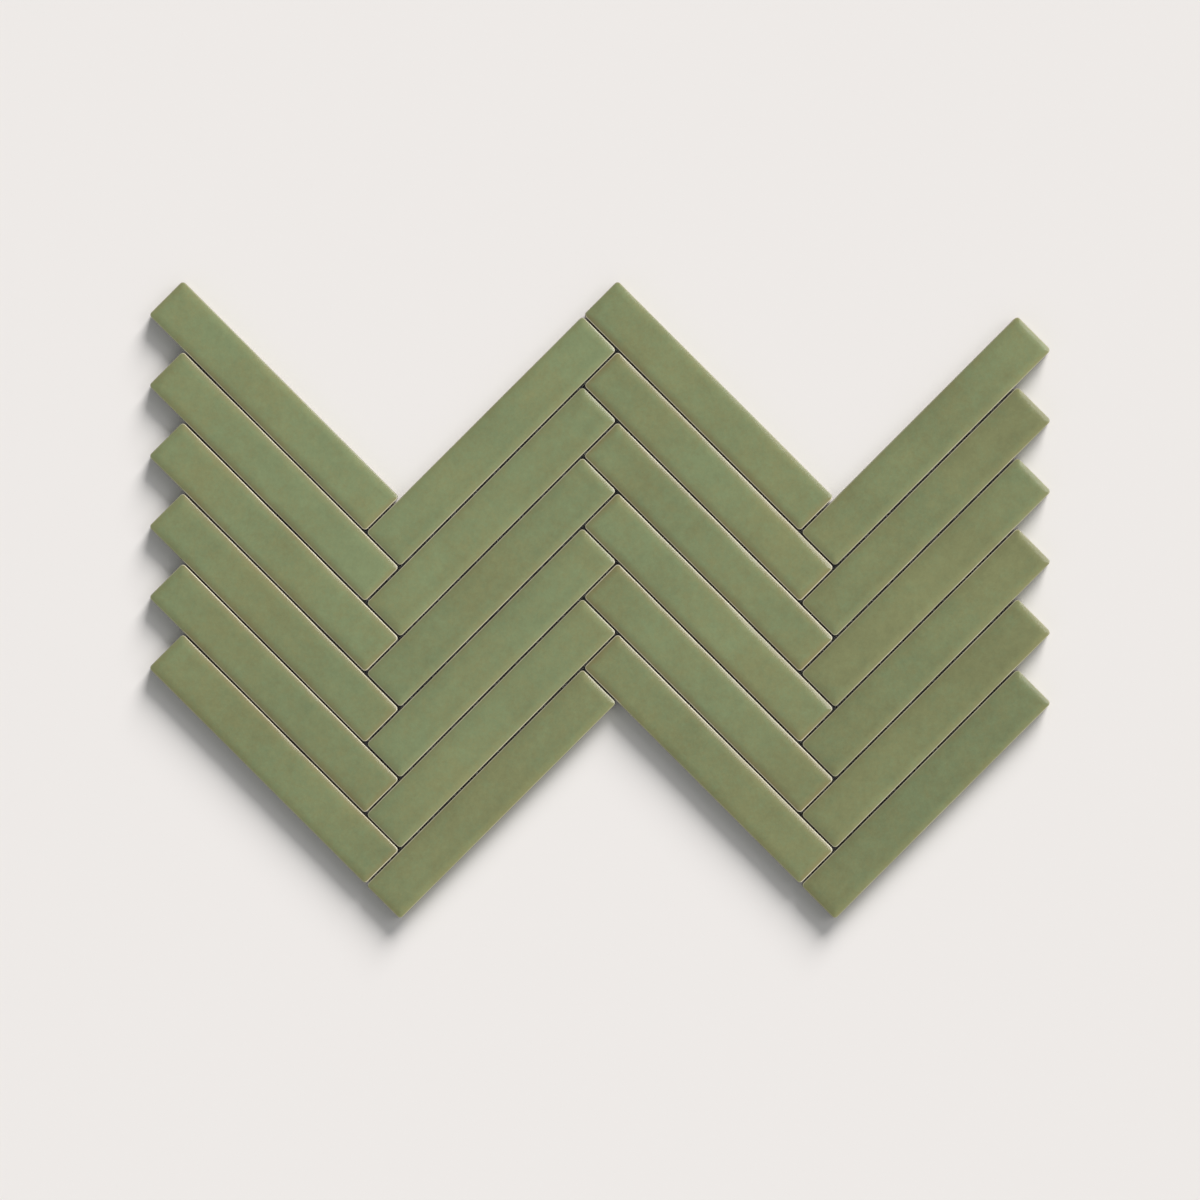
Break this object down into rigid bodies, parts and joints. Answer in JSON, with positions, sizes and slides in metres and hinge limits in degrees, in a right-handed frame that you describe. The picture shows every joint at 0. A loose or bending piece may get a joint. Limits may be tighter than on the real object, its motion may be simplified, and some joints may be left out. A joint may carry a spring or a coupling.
{
  "type": "herringbone mosaic tile",
  "caption": "Herringbone mosaic sheet of slender satin green glazed ceramic bars at 45 degrees on a net backing, with notched edges that interlock with the next sheet to clad walls.",
  "frame": {"origin": "middle of the sheet's outline, on the plane of the back of its net", "axes": "+X across the columns, +Y up the rows, +Z out of the glazed face"},
  "size_m": [0.4258, 0.301, 0.0085],
  "materials": {
    "green_glaze": "satin",
    "backing_net": "matte"
  },
  "bodies": {
    "root": {"bar_column1_row1": "green_glaze", "bar_column1_row2": "green_glaze", "bar_column1_row3": "green_glaze", "bar_column1_row4": "green_glaze", "bar_column1_row5": "green_glaze", "bar_column1_row6": "green_glaze", "bar_column2_row1": "green_glaze", "bar_column2_row2": "green_glaze", "bar_column2_row3": "green_glaze", "bar_column2_row4": "green_glaze", "bar_column2_row5": "green_glaze", "bar_column2_row6": "green_glaze", "bar_column3_row1": "green_glaze", "bar_column3_row2": "green_glaze", "bar_column3_row3": "green_glaze", "bar_column3_row4": "green_glaze", "bar_column3_row5": "green_glaze", "bar_column3_row6": "green_glaze", "bar_column4_row1": "green_glaze", "bar_column4_row2": "green_glaze", "bar_column4_row3": "green_glaze", "bar_column4_row4": "green_glaze", "bar_column4_row5": "green_glaze", "bar_column4_row6": "green_glaze", "backing_net_column1": "backing_net", "backing_net_column2": "backing_net", "backing_net_column3": "backing_net", "backing_net_column4": "backing_net"}
  },
  "joints": []
}
